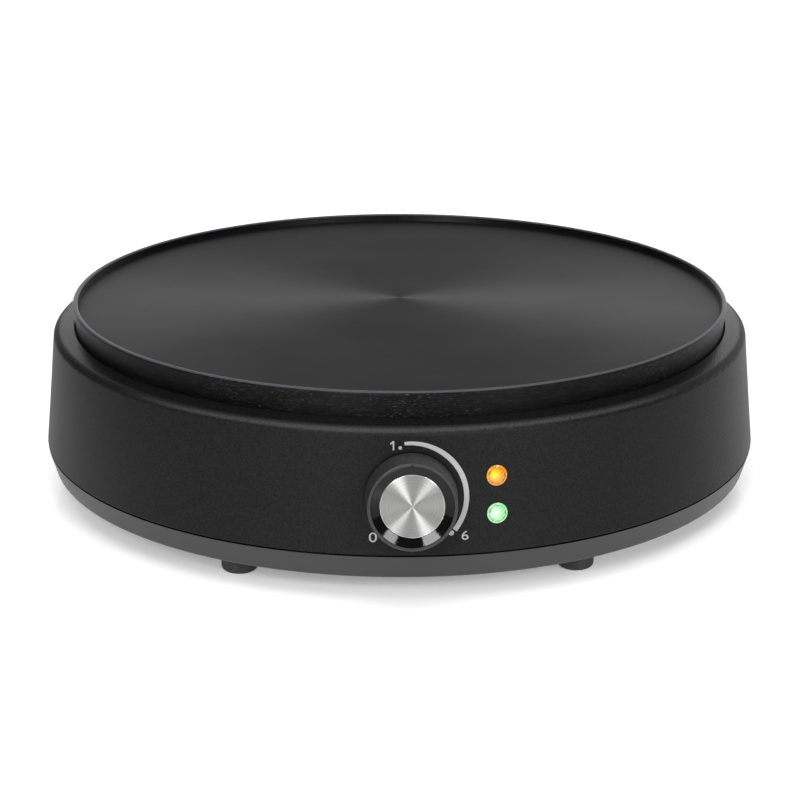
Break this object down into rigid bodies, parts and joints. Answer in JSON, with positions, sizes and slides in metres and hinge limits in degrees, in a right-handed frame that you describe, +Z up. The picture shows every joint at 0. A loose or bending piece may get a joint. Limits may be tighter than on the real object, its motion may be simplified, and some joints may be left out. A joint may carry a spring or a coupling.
{
  "type": "electric crepe maker",
  "caption": "Round electric crepe maker: rimmed non-stick baking plate on a tapered black housing, turning thermostat knob and two indicator lamps at the front, rubber feet.",
  "frame": {"origin": "on the surface the feet stand on, under the centre of the round plate", "axes": "+Z up, -Y the front with the knob, +X to the right as seen from the front"},
  "size_m": [0.3496, 0.3662, 0.092],
  "materials": {
    "nonstick_coating": "fine turned cast aluminium under a dark grey-black non-stick coat, satin to semi-gloss",
    "silicone_seal": "matt moulded silicone",
    "housing_plastic": "fine spark-eroded texture, matt black",
    "base_plastic": "matt dark grey moulding",
    "foot_rubber": "matt black rubber",
    "knob_plastic": "satin black moulding",
    "knob_gloss_plastic": "polished black ring",
    "spun_aluminium": "spun concentric finish with a bright bevel",
    "amber_lens_plastic": "clear amber, prismatic inside, lit",
    "green_lens_plastic": "clear green, prismatic inside, lit",
    "lamp_glass": "clear glass capsule",
    "sheet_aluminium": "rolled sheet, dull",
    "zinc_steel": "zinc-plated",
    "element_sheath": "annealed stainless tube, darkened",
    "ceramic_white": "unglazed steatite",
    "nickel_brass": "plain stamped brass",
    "phenolic": "brown-black moulded phenolic",
    "natural_nylon": "natural nylon",
    "glass_sleeving": "braided glass-fibre sleeve",
    "brown_silicone": "silicone wire insulation",
    "blue_silicone": "silicone wire insulation",
    "earth_silicone": "silicone wire insulation",
    "white_silicone": "silicone wire insulation",
    "copper_capillary": "drawn copper",
    "gland_rubber": "moulded black bush"
  },
  "bodies": {
    "base": {"amber_lamp": "lamp_glass", "amber_lens": "amber_lens_plastic", "baking_plate": "nonstick_coating", "base_cover": "base_plastic", "bulb_strap": "zinc_steel", "capillary_tube": "copper_capillary", "cord_gland": "gland_rubber", "earth_tag": "nickel_brass", "element_insulators": "ceramic_white", "element_tabs": "zinc_steel", "foot_front_left": "foot_rubber", "foot_front_right": "foot_rubber", "foot_rear_left": "foot_rubber", "foot_rear_right": "foot_rubber", "fuse_rivets": "sheet_aluminium", "fuse_sleeve": "glass_sleeving", "fuse_strap": "zinc_steel", "green_lamp": "lamp_glass", "green_lens": "green_lens_plastic", "heat_shield": "sheet_aluminium", "heating_element": "element_sheath", "holder_screw": "zinc_steel", "housing_screws": "zinc_steel", "lamp_holder": "natural_nylon", "lamp_leads": "white_silicone", "lamp_splice": "natural_nylon", "lens_retainers": "zinc_steel", "plate_screws": "zinc_steel", "plate_seal": "silicone_seal", "plate_spacers": "zinc_steel", "sensing_bulb": "copper_capillary", "shield_washers": "zinc_steel", "spindle_bush": "nickel_brass", "strap_screws": "zinc_steel", "tab_connectors": "nickel_brass", "terminal_block": "natural_nylon", "terminal_screws": "zinc_steel", "terminal_sleeves": "nickel_brass", "thermal_fuse": "nickel_brass", "thermostat_body": "phenolic", "thermostat_plate": "zinc_steel", "thermostat_screws": "zinc_steel", "thermostat_tabs": "nickel_brass", "upper_housing": "housing_plastic", "wire_earth": "earth_silicone", "wire_fused": "white_silicone", "wire_lamps": "blue_silicone", "wire_live": "brown_silicone", "wire_neutral": "blue_silicone", "wire_switched": "brown_silicone"},
    "knob": {"knob_body": "knob_plastic", "knob_ring": "knob_gloss_plastic", "knob_cap": "spun_aluminium", "knob_clip": "zinc_steel", "thermostat_spindle": "zinc_steel"}
  },
  "joints": [
    {"name": "knob_turn", "type": "hinge", "parent": "base", "child": "knob", "pos_m": [0, -0.17238, 0.0487], "axis": [0, 0.9952, -0.0976], "range_deg": [-135, 132]}
  ]
}
